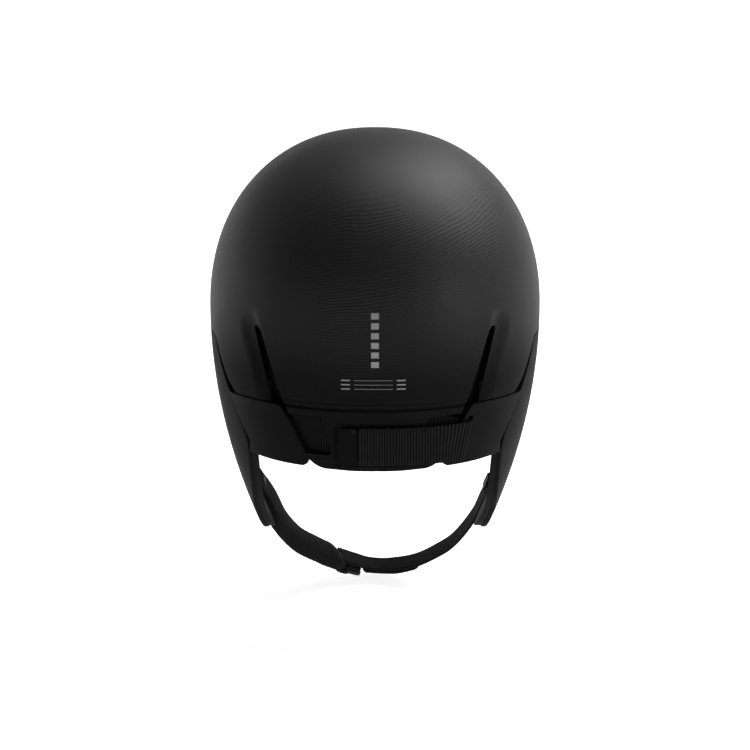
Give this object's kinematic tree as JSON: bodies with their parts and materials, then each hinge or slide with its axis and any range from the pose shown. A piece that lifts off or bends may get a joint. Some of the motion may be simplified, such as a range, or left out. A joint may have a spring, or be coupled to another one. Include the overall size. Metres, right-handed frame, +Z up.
{
  "type": "water sports helmet",
  "caption": "Hard-shell water sports helmet with a springy rear flap tightened by an elastic strap, padded ear flaps and a buckled chin strap.",
  "frame": {"origin": "middle of the wearer's head at the widest level of the shell", "axes": "+Z up, +Y towards the face, +X to the wearer's right"},
  "size_m": [0.216, 0.266, 0.3072],
  "materials": {
    "shell_plastic": "matte black with a fine moulded line texture",
    "flap_plastic": "satin black",
    "foam": "closed-cell foam",
    "fabric": "smooth stretch fabric",
    "webbing": "ribbed woven webbing",
    "buckle_plastic": "satin dark grey",
    "steel": "brushed"
  },
  "bodies": {
    "shell": {"outer_shell": "shell_plastic", "rear_band_left": "shell_plastic", "rear_band_right": "shell_plastic", "joiner_left": "buckle_plastic", "joiner_right": "buckle_plastic", "joiner_rivet_left_lower": "steel", "joiner_rivet_left_upper": "steel", "joiner_rivet_right_lower": "steel", "joiner_rivet_right_upper": "steel", "liner_crown": "foam", "liner_front": "foam", "liner_left": "foam", "liner_right": "foam", "liner_rear_top": "foam", "liner_rear_left": "foam", "liner_rear_right": "foam", "pad_crown": "fabric", "pad_forehead": "fabric", "pad_left": "fabric", "pad_right": "fabric", "flex_strap": "webbing", "strap_anchor_plate": "buckle_plastic", "strap_anchor_rivet_upper": "steel", "strap_anchor_rivet_lower": "steel", "ear_tab_left": "buckle_plastic", "ear_tab_right": "buckle_plastic", "ear_stud_left_front": "steel", "ear_stud_left_rear": "steel", "ear_stud_right_front": "steel", "ear_stud_right_rear": "steel"},
    "rear_flap_body": {"rear_flap": "shell_plastic", "flap_liner": "foam", "nape_pad": "fabric", "hook_patch": "webbing"},
    "strap_end": {"strap_end_tab": "webbing"},
    "ear_left": {"ear_flap_left": "flap_plastic", "ear_pad_left": "foam", "ear_mesh_left": "fabric", "chin_root_left": "webbing", "chin_anchor_plate_left": "buckle_plastic"},
    "ear_right": {"ear_flap_right": "flap_plastic", "ear_pad_right": "foam", "ear_mesh_right": "fabric", "chin_root_right": "webbing", "chin_anchor_plate_right": "buckle_plastic"},
    "chin_left": {"chin_sleeve": "fabric", "buckle_socket": "buckle_plastic"},
    "pull_tab": {"buckle_pull_tab": "flap_plastic"},
    "chin_right": {"chin_webbing": "webbing", "webbing_lap": "webbing", "buckle_tongue": "buckle_plastic"}
  },
  "joints": [
    {"name": "rear_flap_flex", "type": "hinge", "parent": "shell", "child": "rear_flap_body", "pos_m": [0, -0.097, 0.008], "axis": [1, 0, 0], "range_deg": [0, 4.5], "stiffness_Nm_per_rad": 6, "springref_deg": -1.72, "deforming": ["flex_strap"]},
    {"name": "strap_end_peel", "type": "hinge", "parent": "rear_flap_body", "child": "strap_end", "pos_m": [-0.01078, -0.13031, -0.0595], "axis": [0, 0, 1], "range_deg": [0, 80]},
    {"name": "ear_flap_left_swing", "type": "hinge", "parent": "shell", "child": "ear_left", "pos_m": [-0.107, 0, -0.017], "axis": [0, 1, 0], "range_deg": [0, 25], "stiffness_Nm_per_rad": 0.6, "springref_deg": -5.73},
    {"name": "ear_flap_right_swing", "type": "hinge", "parent": "shell", "child": "ear_right", "pos_m": [0.107, 0, -0.017], "axis": [0, -1, 0], "range_deg": [0, 25], "stiffness_Nm_per_rad": 0.6, "springref_deg": -5.73},
    {"name": "chin_right_swing", "type": "hinge", "parent": "ear_right", "child": "chin_right", "pos_m": [0.067, -0.0045, -0.163], "axis": [0, -1, 0], "range_deg": [0, 60]},
    {"name": "chin_left_swing", "type": "hinge", "parent": "ear_left", "child": "chin_left", "pos_m": [-0.0665, -0.0045, -0.166], "axis": [0, 1, 0], "range_deg": [0, 48.1]},
    {"name": "pull_tab_slide", "type": "slide", "parent": "chin_left", "child": "pull_tab", "axis": [0.978, 0.09, -0.188], "range_m": [0, 0.005], "stiffness_N_per_m": 150, "springref_m": -0.002}
  ],
  "couplings": [
    {"joint": "chin_left_swing", "follows": "chin_right_swing", "ratio": 0.8}
  ]
}
